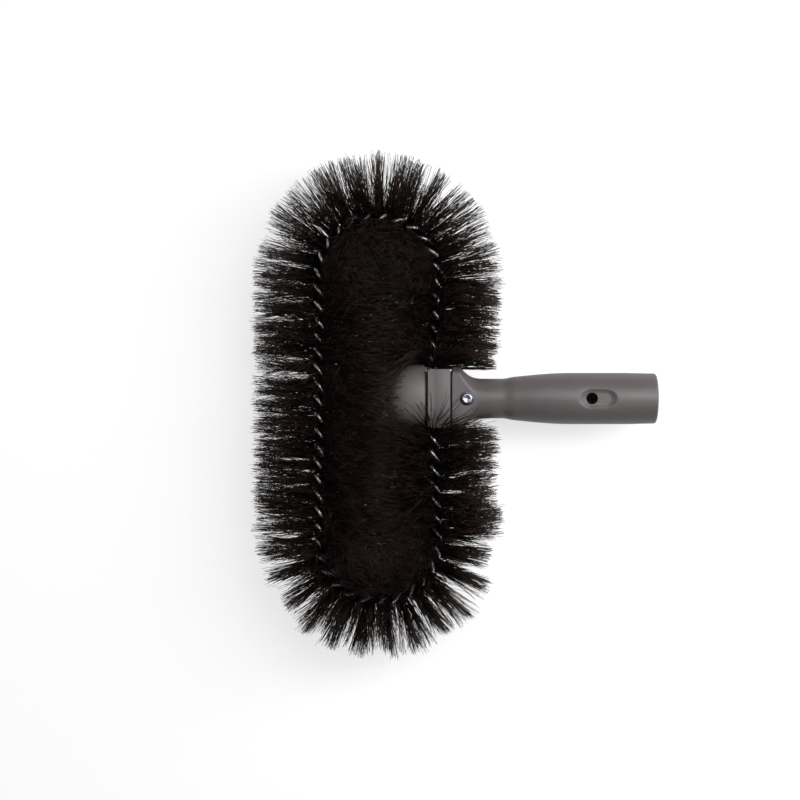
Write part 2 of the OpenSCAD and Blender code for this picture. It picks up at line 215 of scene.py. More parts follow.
def new_material(name):
    """An empty node material with its Principled shader: (material, tree, shader)."""
    material = bpy.data.materials.new(name)
    material.use_nodes = True
    tree = material.node_tree
    tree.nodes.clear()
    shader = put(tree, "ShaderNodeBsdfPrincipled")
    feed(put(tree, "ShaderNodeOutputMaterial"), {"Surface": shader.outputs[0]})
    return material, tree, shader


def new_group(name, inputs, outputs):
    """A shader node group with float inputs {name: default} and the named float outputs."""
    group = bpy.data.node_groups.new(name, "ShaderNodeTree")
    for key, default in inputs.items():
        socket = group.interface.new_socket(key, in_out="INPUT", socket_type="NodeSocketFloat")
        socket.default_value = default
    for key in outputs:
        group.interface.new_socket(key, in_out="OUTPUT", socket_type="NodeSocketFloat")
    return group, put(group, "NodeGroupInput").outputs, put(group, "NodeGroupOutput")


def surface_grain():
    """Group: fine grain over a surface, as a height and a tone, with broad clouds in the tone."""
    name = "Surface grain"
    if name in bpy.data.node_groups:
        return bpy.data.node_groups[name]
    defaults = {"Grain scale": 2500.0, "Cloud scale": 40.0, "Cloud share": 0.5}
    group, given, out = new_group(name, defaults, ("Height", "Tone"))
    place = put(group, "ShaderNodeTexCoord").outputs["Object"]
    fine = noise(group, place, given["Grain scale"], 2.0, 0.6)
    cloud = noise(group, place, given["Cloud scale"], 3.0, 0.55)
    clouds = maths(group, "MULTIPLY", cloud, given["Cloud share"])
    rest = maths(group, "SUBTRACT", 1.0, given["Cloud share"])
    tone = maths(group, "ADD", clouds, maths(group, "MULTIPLY", fine, rest))
    feed(out, {"Height": fine, "Tone": tone})
    return group


def edge_wear_and_sheen():
    """Group: a mask that is 1 along rounded edges, hollow and raised alike, broken up by noise: wear and
    a painted sheen.
    """
    name = "Edge wear"
    if name in bpy.data.node_groups:
        return bpy.data.node_groups[name]
    defaults = {"Radius": 0.0006, "Gain": 6.0, "Break-up": 0.5}
    group, given, out = new_group(name, defaults, ("Mask",))
    rounded = feed(put(group, "ShaderNodeBevel", samples=4), {"Radius": given["Radius"]})
    plain = put(group, "ShaderNodeNewGeometry").outputs["Normal"]
    dot = put(group, "ShaderNodeVectorMath", operation="DOT_PRODUCT")
    feed(dot, {0: rounded.outputs[0], 1: plain})
    turn = maths(group, "SUBTRACT", 1.0, dot.outputs["Value"])
    strong = maths(group, "MULTIPLY", turn, given["Gain"], clamp=True)
    place = put(group, "ShaderNodeTexCoord").outputs["Object"]
    patches = between(group, noise(group, place, 300.0), 0.4, 0.65)
    kept = maths(group, "SUBTRACT", 1.0, given["Break-up"])
    broken = maths(group, "ADD", kept, maths(group, "MULTIPLY", patches, given["Break-up"]))
    feed(out, {"Mask": maths(group, "MULTIPLY", strong, broken, clamp=True)})
    return group


# ---------------- materials

# Attributes of the filaments that their material reads, and the name of the map of their cells
TONE, ALONG, BAKE_MAP = "tone", "along", "OFBake"
# Grain, tones, gloss and relief, as grained takes them
PLASTIC = (2600.0, 55.0, 0.6), (0.9, 1.1), (0.40, 0.50), (0.35, 0.03 * MM)
PLATED = (3500.0, 700.0, 0.7), (0.75, 1.2), (0.22, 0.4), (0.25, 0.02 * MM)
GALVANISED = (4000.0, 450.0, 0.75), (0.55, 1.25), (0.32, 0.5), (0.3, 0.02 * MM)


def grained(name, colour, grain, tones, gloss, relief):
    """A material clouded in tone and gloss over a fine relief: (material, tree, shader, its colour).

    grain is the scale of the grain, and the scale and share of the clouds. tones are the factors of
    the darkest and lightest colour, gloss the least and most roughness, and relief the strength and
    depth of the bumps.
    """
    material, tree, shader = new_material(name)
    made = put(tree, "ShaderNodeGroup", node_tree=surface_grain())
    feed(made, dict(zip(("Grain scale", "Cloud scale", "Cloud share"), grain)))
    tone = made.outputs["Tone"]
    dark, light = (shade(colour, factor) for factor in tones)
    body = mixed(tree, between(tree, tone, 0.35, 0.65), dark, light)
    rough = between(tree, tone, 0.3, 0.7, *gloss)
    strength, depth = relief
    bump = put(tree, "ShaderNodeBump")
    feed(bump, {"Strength": strength, "Distance": depth, "Height": made.outputs["Height"]})
    feed(shader, {"Base Color": body, "Roughness": rough, "Normal": bump.outputs[0]})
    return material, tree, shader, body


def moulded_plastic(name, colour):
    """Warm dark grey plastic with a fine spark-eroded grain, a little lighter along its edges: partly
    wear, partly a painted sheen.
    """
    material, tree, shader, body = grained(name, colour, *PLASTIC)
    # Edges, hollow and raised, are painted lighter: partly wear, partly a painted sheen
    wear_and_sheen = put(tree, "ShaderNodeGroup", node_tree=edge_wear_and_sheen())
    feed(wear_and_sheen, {"Radius": 0.5 * MM, "Gain": 2.5})
    worn_and_sheen = maths(tree, "MULTIPLY", wear_and_sheen.outputs["Mask"], 0.5)
    base = mixed(tree, worn_and_sheen, body, shade(colour, 1.9))
    feed(shader, {"Base Color": base, "Specular IOR Level": 0.45})
    return material


def steel(name, colour, look):
    """Plated, blued or galvanised steel, cloudy at the size of its crystals."""
    material, tree, shader, _ = grained(name, colour, *look)
    feed(shader, {"Metallic": 1})
    return material


def brown_black_filament(colour, tip_colour):
    """Filaments that differ in tone from one to the next, with a few loose ones painted lighter as
    glints, and turn browner towards their tips.
    """
    material, tree, shader = new_material("Bristle filament")
    tone = put(tree, "ShaderNodeAttribute", attribute_name=TONE).outputs["Fac"]
    along = put(tree, "ShaderNodeAttribute", attribute_name=ALONG).outputs["Fac"]
    # The lightest end of the body colour, which the loose filaments reach, is a painted glint
    body = mixed(tree, tone, shade(colour, 0.5), shade(colour, 2.5))
    tip = mixed(tree, tone, shade(tip_colour, 0.5), shade(tip_colour, 1.6))
    base = mixed(tree, between(tree, along, 0.55, 1.0), body, tip)
    rough = between(tree, tone, 0.0, 1.0, 0.38, 0.6)
    feed(shader, {"Base Color": base, "Roughness": rough, "Specular IOR Level": 0.22})
    return material


# ---------------- mesh helpers

# Angle from which an edge is sharp
SHARP = math.radians(28)
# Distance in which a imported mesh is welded, and turn up to which it is made one face
WELD, ONE_FACE = 0.002 * MM, math.radians(0.4)
# The clamp block between its two gaps, and the rise of its flats to the nose cap
BLOCK_START_X, BLOCK_END_X = CAP_HIGH.x + 1.7 * MM, GRIP_LOW.x - 1.4 * MM
SHOULDER_RISE, SHOULDER_FROM = 0.8 * MM, BLOCK_HIGH.z / 2 + 2 * MM
# Ends of the plinths in the gaps, made longer and thinner
PLINTH_FROM, PLINTH_LONGER, PLINTH_THINNER = 15 * MM, 1.09, 0.88
AT_EDGE = 0.05 * MM


def link(name, data):
    made = bpy.data.objects.new(name, data)
    bpy.context.scene.collection.objects.link(made)
    return made


def stand_for(piece, node_name):
    """Rides the piece on the brush's one body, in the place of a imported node."""
    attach(piece, "root")
    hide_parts(node_name)


def dress(node_name, piece_name, material, bevel, reshape=None):
    """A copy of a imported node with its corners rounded, which stands for it."""
    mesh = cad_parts[node_name].data.copy()
    mesh.name = piece_name
    mesh.materials.clear()
    mesh.materials.append(material)
    if mesh.attributes.get("custom_normal"):
        mesh.attributes.remove(mesh.attributes["custom_normal"])
    work = bmesh.new()
    work.from_mesh(mesh)
    bmesh.ops.remove_doubles(work, verts=work.verts, dist=WELD)
    bmesh.ops.dissolve_limit(work, angle_limit=ONE_FACE, verts=work.verts, edges=work.edges)
    if reshape:
        reshape(work)
    bmesh.ops.bevel(
        work,
        geom=[e for e in work.edges if e.is_manifold and e.calc_face_angle(0) > SHARP],
        offset=bevel,
        segments=2,
        profile=0.5,
        affect="EDGES",
        clamp_overlap=True,
    )
    for face in work.faces:
        face.smooth = True
    work.to_mesh(mesh)
    work.free()
    mesh.set_sharp_from_angle(angle=SHARP)
    stand_for(link(piece_name, mesh), node_name)


def shape_block(work):
    """Raises the clamp block's flats to the nose cap, and closes the ends of its two gaps."""
    for v in work.verts:
        in_block = BLOCK_START_X - AT_EDGE < v.co.x < BLOCK_END_X + AT_EDGE
        if abs(v.co.x - BLOCK_START_X) < AT_EDGE and abs(v.co.z) > SHOULDER_FROM:
            v.co.z = math.copysign(BLOCK_HIGH.z + SHOULDER_RISE, v.co.z)
        elif not in_block and abs(v.co.y) > PLINTH_FROM:
            v.co.y *= PLINTH_LONGER
            v.co.z *= PLINTH_THINNER


def tube_faces(rings, sides, other_way=False):
    """Corners and counts of the faces of a tube of rings of points, with both ends closed."""
    grid = np.arange(rings * sides).reshape(rings, sides)
    after = np.roll(grid, -1, axis=1)
    quads = np.stack([grid[:-1], after[:-1], after[1:], grid[1:]], -1).reshape(-1, 4)
    ends = [grid[0][::-1], grid[-1]]
    if other_way:
        quads = quads[:, [0, 3, 2, 1]]
        ends = [end[::-1] for end in ends]
    counts = np.concatenate([np.full(len(quads), 4), [sides, sides]])
    return np.concatenate([quads.ravel(), *ends]), counts


def raise_mesh(name, vertices, corners, counts):
    """A mesh from its vertices, the corners of its faces in one row, and how many each face has."""
    mesh = bpy.data.meshes.new(name)
    mesh.vertices.add(len(vertices))
    mesh.vertices.foreach_set("co", vertices.astype(np.float32).ravel())
    mesh.loops.add(len(corners))
    mesh.loops.foreach_set("vertex_index", corners.astype(np.int32))
    mesh.polygons.add(len(counts))
    mesh.polygons.foreach_set("loop_start", (np.cumsum(counts) - counts).astype(np.int32))
    mesh.polygons.foreach_set("use_smooth", np.ones(len(counts), bool))
    mesh.update(calc_edges=True)
    return mesh


# ---------------- grip

# Places along the grip, from the flare's face to the mouth of the socket
FLARE_X = GRIP_LOW.x
FLARE_EDGE = 0.5 * MM
FLARE_RIM = 5 * MM
FLARE_CURVE = 2.6
NECK_X = FLARE_X + 20 * MM
NECK_END_X = -100 * MM
GRIP_START_X, GRIP_START_R = -90.5 * MM, 14.3 * MM
FULL_START_X, FULL_END_X = -54.2 * MM, -22.2 * MM
MOUTH_EDGE = 1.8 * MM
MOUTH_DRAFT = 0.35 * MM
# Points round the grip, and rings along it: where each stretch ends, and the distance of its rings
GRIP_SIDES = 240
GRIP_STRETCHES = [(NECK_X + 2 * MM, 0.3 * MM), (-52 * MM, 1.0 * MM)]
GRIP_STRETCHES += [(-22 * MM, 0.4 * MM), (-MOUTH_EDGE, 1.2 * MM)]
# Rounding of the flats' edges and of their chamfer's, and the least share of that
FLAT_EDGE, CHAMFER_EDGE, LEAST_FADE = 0.1 * MM, 0.35 * MM, 0.02
# Finger recess: middle, straight half length, half width, floor, run of its walls to a unit of height
RECESS_X = -38.2 * MM
RECESS_HALF_STRAIGHT, RECESS_HALF_W = 4.2 * MM, 4.1 * MM
RECESS_Z, RECESS_SLOPE, RECESS_TILT = 14.1 * MM, 1.5, math.radians(2.6)
RECESS_EDGE = 0.45 * MM
RECESS_ROUNDS = 4
# Cuts: mouth, bore behind the socket, pocket of the block's tongue, seats of screw, washer and nut
OVER = 2 * MM
MOUTH_BEVEL = 0.7 * MM
PILOT_X, PILOT_R, PILOT_LEN = -103 * MM, 7 * MM, 34 * MM
TONGUE_DEPTH, TONGUE_HALF_Y, TONGUE_HALF_Z = 21.6 * MM, 9.1 * MM, 7.1 * MM
SCREW_R, WASHER_R, WASHER_DEPTH = 2.15 * MM, 4.7 * MM, 5 * MM
NUT_R, NUT_BELOW, NUT_DEPTH = 4.16 * MM, 5 * MM, 3.2 * MM
THROUGH = 20 * MM


def smooth(t):
    t = np.clip(t, 0, 1)
    return t * t * (3 - 2 * t)


def soft_min(a, b, width):
    """The lesser of a and b, rounded off where they differ by less than width."""
    share = np.clip(0.5 + 0.5 * (b - a) / width, 0, 1)
    return b * (1 - share) + a * share - width * share * (1 - share)


def round_edge(depth, size):
    """How far an edge rounded by size is drawn in, at that depth from its end."""
    left = np.clip(1 - depth / size, 0, 1)
    return size * (1 - np.sqrt(1 - left**2))


def grip_outline(sizes, x):
    """Radius of the grip at the places x along it, before the flats and the recess are cut."""
    flare = np.clip((NECK_X - x) / (NECK_X - FLARE_X - FLARE_RIM), 0, 1) ** FLARE_CURVE
    radius = sizes.neck_r + (sizes.flare_r - sizes.neck_r) * flare
    step = smooth((x - NECK_END_X) / (GRIP_START_X - NECK_END_X))
    radius = radius + (GRIP_START_R - sizes.neck_r) * step
    swell = np.clip((x - GRIP_START_X) / (FULL_START_X - GRIP_START_X), 0, 1)
    radius = radius + (sizes.radius - GRIP_START_R) * np.sin(swell * math.pi / 2)
    radius = radius - MOUTH_DRAFT * smooth((x - FULL_END_X) / (-MOUTH_EDGE - FULL_END_X))
    return radius - round_edge(x - FLARE_X, FLARE_EDGE) - round_edge(-x, MOUTH_EDGE)


def grip_skin(sizes):
    """Closed outer skin of the grip: rings of points round its axis, with both ends filled."""
    x = [FLARE_X + FLARE_EDGE * (1 - np.cos(np.linspace(0, math.pi / 2, 5)[:-1]))]
    start = FLARE_X + FLARE_EDGE
    for stop, step in GRIP_STRETCHES:
        x.append(np.arange(start, stop, step))
        start = stop
    x.append(-MOUTH_EDGE * (1 - np.sin(np.linspace(0, math.pi / 2, 9))))
    x = np.concatenate(x)
    turn = np.arange(GRIP_SIDES) * 2 * math.pi / GRIP_SIDES
    cos, sin = np.cos(turn)[None], np.sin(turn)[None]
    radius = np.repeat(grip_outline(sizes, x)[:, None], GRIP_SIDES, axis=1)
    # The flats are chamfered into the flare, and fade out where it has come down to the neck
    level = sizes.flat_z / np.maximum(abs(sin), 1e-3)
    fade = np.clip((NECK_X - x) / (NECK_X - FLARE_X - FLARE_RIM), LEAST_FADE, 1)[:, None]
    chamfer = (radius + level - sizes.chamfer * fade) / 2
    flat = soft_min(soft_min(radius, level, FLAT_EDGE), chamfer, CHAMFER_EDGE * fade)
    radius = np.where(x[:, None] < NECK_X, flat, radius)
    # The recess is cut from above, so its floor is found at each point's own height
    surface = radius
    for _ in range(RECESS_ROUNDS):
        y = radius * cos
        beyond = np.hypot(np.maximum(abs(x[:, None] - RECESS_X) - RECESS_HALF_STRAIGHT, 0), y)
        wall = -soft_min(RECESS_HALF_W - beyond, 0.0 * y, 2 * RECESS_EDGE)
        floor = RECESS_Z + (x[:, None] - RECESS_X) * math.tan(RECESS_TILT) + wall / RECESS_SLOPE
        lowered = soft_min(surface, floor / np.maximum(sin, 0.2), RECESS_EDGE)
        radius = np.where(sin > 0.5, lowered, surface)
    points = np.stack([np.repeat(x[:, None], GRIP_SIDES, axis=1), radius * cos, radius * sin], -1)
    return points.reshape(-1, 3), *tube_faces(len(x), GRIP_SIDES)


def bore(axis, at, radius, length, far_r=None, sides=96):
    """A closed bmesh cylinder for a cut, or a cone with far_r, from at along the axis x or z."""
    solid = bmesh.new()
    far_r = radius if far_r is None else far_r
    bmesh.ops.create_cone(
        solid, cap_ends=True, segments=sides, radius1=radius, radius2=far_r, depth=length
    )
    for v in solid.verts:
        x, y, z = v.co.x, v.co.y, v.co.z + length / 2
        v.co = Vector(at) + Vector((z, y, -x) if axis == "x" else (x, y, z))
    return solid


def pocket(low, size):
    """A closed bmesh box for a cut, from its lowest corner and its size along each axis."""
    solid = bmesh.new()
    bmesh.ops.create_cube(solid, size=1)
    for v in solid.verts:
        v.co = Vector(a + (c + 0.5) * d for a, c, d in zip(low, v.co, size))
    return solid


def cut(piece, solids):
    """Takes the solids away from the piece's mesh."""
    made = []
    for k, solid in enumerate(solids):
        mesh = bpy.data.meshes.new(f"cutter_{k}")
        solid.to_mesh(mesh)
        solid.free()
        made.append(link(f"cutter_{k}", mesh))
        modifier = piece.modifiers.new(f"cut_{k}", "BOOLEAN")
        modifier.operation = "DIFFERENCE"
        modifier.solver = "EXACT"
        modifier.object = made[-1]
    shape = piece.evaluated_get(bpy.context.evaluated_depsgraph_get())
    piece_mesh = bpy.data.meshes.new_from_object(shape)
    piece.modifiers.clear()
    piece.data = piece_mesh
    for solid in made:
        bpy.data.objects.remove(solid)


def grip_moulding(sizes, material):
    """The grip with its socket, its button hole and the seats of the clamp block and its screw."""
    piece = link("grip_moulding", raise_mesh("grip_moulding", *grip_skin(sizes)))
    nut_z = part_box("clamp_nut")[0].z
    washer_low, washer_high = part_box("screw_washer")
    screw_x = (washer_low.x + washer_high.x) / 2
    depth, socket_r, button_r = sizes.socket_depth, sizes.socket_r, sizes.button_r
    tongue_size = (OVER + TONGUE_DEPTH, 2 * TONGUE_HALF_Y, 2 * TONGUE_HALF_Z)
    cut(
        piece,
        [
            bore("x", (-depth, 0, 0), socket_r, depth + OVER, sides=128),
            bore("x", (-MOUTH_BEVEL, 0, 0), socket_r, 2 * MOUTH_BEVEL, socket_r + 2 * MOUTH_BEVEL, 128),
            bore("x", (PILOT_X, 0, 0), PILOT_R, PILOT_LEN),
            pocket((FLARE_X - OVER, -TONGUE_HALF_Y, -TONGUE_HALF_Z), tongue_size),
            bore("z", (screw_x, 0, -THROUGH), SCREW_R, 2 * THROUGH),
            bore("z", (screw_x, 0, washer_low.z), WASHER_R, WASHER_DEPTH),
            bore("z", (screw_x, 0, nut_z - NUT_BELOW), NUT_R, NUT_BELOW + NUT_DEPTH, sides=6),
            bore("z", (-sizes.button_x, 0, 0), button_r, THROUGH, sides=64),
        ],
    )
    piece.data.materials.append(material)
    piece.data.polygons.foreach_set("use_smooth", np.ones(len(piece.data.polygons), bool))
    piece.data.set_sharp_from_angle(angle=SHARP)
    stand_for(piece, "handle")


# ---------------- route of the core


class Route:
    """Middle line of the core: stub, slant, upper bend, long side, lower bend, slant, stub."""

    def __init__(self, sizes):
        self.bend_r = sizes.width / 2
        self.pitch, self.phase = sizes.pitch, sizes.phase
        self.helix_r = (sizes.wire_d + sizes.wire_gap) / 2
        self.stub = stub = sizes.stub_y - SLEEVE_LOW.y
        # How far each slant turns in from straight up or down, and its length
        slants = []
        for height in (sizes.upper_y - sizes.stub_y, sizes.lower_y - sizes.stub_y):
            far = math.hypot(sizes.to_middle, height)
            turn = math.acos(self.bend_r / far) - math.atan2(height, sizes.to_middle)
            slants.append((turn, math.sqrt(far**2 - self.bend_r**2)))
        (upper, upper_len), (lower, lower_len) = slants
        lengths = [stub, upper_len, self.bend_r * (math.pi - upper), sizes.upper_y + sizes.lower_y]
        lengths += [self.bend_r * (math.pi - lower), lower_len, stub]
        self.ends = np.concatenate([[0], np.cumsum(lengths)])
        self.length = self.ends[-1]
        half = math.pi / 2
        turns = [half, half + upper, half + upper, 3 * half, 3 * half, 5 * half - lower, 5 * half]
        self.heading = np.array(turns)
        self.bends = np.array([0, 0, 1, 0, 1, 0, 0])
        self.start = np.array([[(SLEEVE_LOW.x + SLEEVE_HIGH.x) / 2, SLEEVE_LOW.y]] * len(lengths))
        for k, length in enumerate(lengths[:-1]):
            self.start[k + 1] = self.start[k] + self.moved(k, length)[0]

    def moved(self, k, along):
        """(way moved in X and Y, cosine and sine of the heading) that far along the stretches k."""
        first = self.heading[k]
        heading = first + self.bends[k] * along / self.bend_r
        cos, sin = np.cos(heading), np.sin(heading)
        x = np.where(self.bends[k], self.bend_r * (sin - np.sin(first)), along * cos)
        y = np.where(self.bends[k], self.bend_r * (np.cos(first) - cos), along * sin)
        return np.stack([x, y], -1), cos, sin

    def on_bend(self, s):
        e = self.ends
        return ((s > e[2]) & (s < e[3])) | ((s > e[4]) & (s < e[5]))

    def at(self, s):
        """(points, tangents, directions out of the loop) at the distances s from the upper end."""
        k = np.searchsorted(self.ends[1:-1], s, side="right")
        moved, cos, sin = self.moved(k, s - self.ends[k])
        flat = np.zeros_like(cos)
        return (
            np.concatenate([self.start[k] + moved, flat[:, None]], -1),
            np.stack([cos, sin, flat], -1),
            np.stack([sin, -cos, flat], -1),
        )

    def twist(self, s):
        return self.phase + 2 * math.pi * s / self.pitch


def turned(outward, angle):
    """Directions square to the core, at an angle turned from outward towards +Z."""
    up = np.zeros_like(outward)
    up[..., 2] = 1
    return np.cos(angle)[..., None] * outward + np.sin(angle)[..., None] * up


def twisted_wire(route, wire_r, side, steps, sides):
    """Mesh of one wire of the pair: a closed round tube on the helix."""
    rings = int(route.length / route.pitch * steps)
    s = np.linspace(0, route.length, rings + 1)
    middle, tangent, outward = route.at(s)
    angle = route.twist(s) + side
    lay = math.atan(2 * math.pi * route.helix_r / route.pitch)
    radial = turned(outward, angle)
    forward = math.cos(lay) * tangent + math.sin(lay) * turned(outward, angle + math.pi / 2)
    across = np.cross(forward, radial)
    centre = middle + route.helix_r * radial
    round_angle = np.arange(sides) * 2 * math.pi / sides
    cos, sin = np.cos(round_angle)[None, :, None], np.sin(round_angle)[None, :, None]
    points = centre[:, None] + wire_r * (cos * radial[:, None] + sin * across[:, None])
    return points.reshape(-1, 3), *tube_faces(rings + 1, sides, other_way=True)


# ---------------- bristles

# Seed of the fill's random draws, and the filaments in a tuft
FILL_SEED, TUFT = 11, 12
# Rings of a filament along its length, sides of a ring, and taper to the tip
RINGS_AT = np.array([0.0, 0.27, 0.54, 0.8, 1.0])
SIDES, TAPER = 3, 0.35
# Free edge of each cell of the map
CELL_MARGIN = 0.08
# Clearance from the floor and the clamp, and the share of a filament at its root without it
FLOOR_CLEAR, CLAMP_CLEAR, ROOT_SHARE = 0.15 * MM, 0.5 * MM, 0.12
CAP_SHOULDER_X = CAP_HIGH.x - 7.5 * MM
# How far a filament strays from its tuft: in place, round the core and along it
PLACE_SCATTER, TURN_SCATTER, LEAN_SCATTER = 0.3 * MM, math.radians(4.5), math.radians(2.3)
# Loose filaments: share, lean, and how much lighter they are painted: a painted glint
LOOSE_SHARE, LOOSE_LEAN, LOOSE_GLINT = 0.04, math.radians(16), 0.6
# Where tufts stand out all round, above and below the clamp, and how far they swing
CLOSED_LEN, LOWER_CLOSED_LEN, ALL_ROUND = 3 * MM, 7 * MM, 1.6
# Share of the strays and of the swing on the lower bend, and how much shorter it is
LOWER_STRAYS, LOWER_SWING, LOWER_SHORTER = 0.25, 0.8, 3.2 * MM
# Cosine up to which a filament is upright, and lean of inner and upright ones and on the two bends
UPRIGHT, RUFFLE = 0.3, [2.6, 0.6, 1.3, 0.8]
# Own lean and trim of each half turn of the wires: on the lower bend, and elsewhere
HALF_TURNS = 80
OWN_LEAN, OWN_TRIM = (math.radians(2), math.radians(1.2)), (1.6 * MM, 0.5 * MM)
# How inner filaments part on a bend, from least to most, and are drawn in elsewhere
PARTED, PART_BLUR = (math.radians(8), math.radians(38)), 0.15
DRAWN_IN, INWARD = 0.45, math.radians(50)
# Unevenness of the inner and outer trim and of the tufts, and where the trim starts over the reach
INNER_TRIM, OUTER_TRIM, TUFT_TRIM, TRIM_OVER = 1.6 * MM, 2.0 * MM, 0.8 * MM, 1.1 * MM
# How much longer inner ones are on the straight sides, on the bends, and across from the nose cap
INNER_OVER, BEND_OVER, CAP_OVER, CAP_REACH = 8 * MM, 3 * MM, 4.5 * MM, 26 * MM
# Share left out on the far side and upper bend, on the lower bend, and in front of a wire
FAR_THIN, LOWER_THIN, WIRE_THIN = 0.30, 0.18, 0.66
WIRE_UP, WIRE_SWING = 0.8, math.radians(32)
# Curl of tufts and filaments to a unit of length, least and most crimp in mm, and its waves
TUFT_CURL, CURL, CRIMP, CRIMP_WAVES = 0.04, 0.025, (0.1, 0.5), 2.2
# Lean in degrees at mm above the clamp, of the fill's clean edge and over the nose cap
DIP_AT, DIP = [-1, 0.5, 2, 4, 9], [-2.2, -1.2, 0, 1.2, 1.5]
OVER_CAP_AT, OVER_CAP = [0, 5, 11, 18, 28, 45], [0, 5, 27, 42, 40, 0]
# Lean in degrees below the clamp, at the cosine of a filament's angle from outward
RISE_AT, RISE = [-1, -0.5, -0.2, 0.2, 0.5, 0.8, 1], [20, 20, 34, 42, 40, 12, -4]
# Lean of those combed away from the clamp, of those that close behind it, and of single wisps
COMBED, BEHIND, WISP = math.radians(24), math.radians(38), math.radians(26)
# Millimetres from the clamp in which each of these wears off
EDGE_LEN, COMBED_LEN, BEHIND_LEN, RISE_LEN = 9, 12, 4, 12
OUTER_WISPS, UPRIGHT_WISPS, EDGE_LIFT = 0.10, 0.05, 0.05


def clear_of_clamp(points):
    """Points inside the nose cap, the clamp block, the flare or the neck, moved out to their surface."""
    x, y, z = points[..., 0], points[..., 1], points[..., 2]
    # The oval cap and the round flare and neck: half height, half thickness
    dome = np.sqrt(1 - np.clip((CAP_SHOULDER_X - x) / (CAP_SHOULDER_X - CAP_LOW.x), 0, 0.999) ** 2)
    round_r = grip_outline(bpy.context.scene.brush_grip, x)
    in_cap = (x > CAP_LOW.x) & (x <= CAP_HIGH.x)
    in_grip = (x > FLARE_X) & (x < GRIP_START_X)
    half_y = np.where(in_cap, CAP_HIGH.y * dome, round_r) + CLAMP_CLEAR
    half_z = np.where(in_cap, CAP_HIGH.z * dome, round_r) + CLAMP_CLEAR
    share = np.maximum(np.hypot(y / half_y, z / half_z), 1e-6)
    grow = np.where((in_cap | in_grip) & (share < 1), 1 / share, 1)
    y, z = y * grow, z * grow
    # The flats of the flare and the clamp block lie at one level
    flat_z, flat_y = BLOCK_HIGH.z + CLAMP_CLEAR, BLOCK_HIGH.y + CLAMP_CLEAR
    z = np.where(in_grip & (grow > 1), np.clip(z, -flat_z, flat_z), z)
    in_block = (x > CAP_HIGH.x) & (x <= FLARE_X) & (abs(y) < flat_y) & (abs(z) < flat_z)
    over = in_block & (flat_z - abs(z) < flat_y - abs(y))
    z = np.where(over, np.where(z < 0, -flat_z, flat_z), z)
    y = np.where(in_block & ~over, np.where(y < 0, -flat_y, flat_y), y)
    return np.stack([x, y, z], -1)


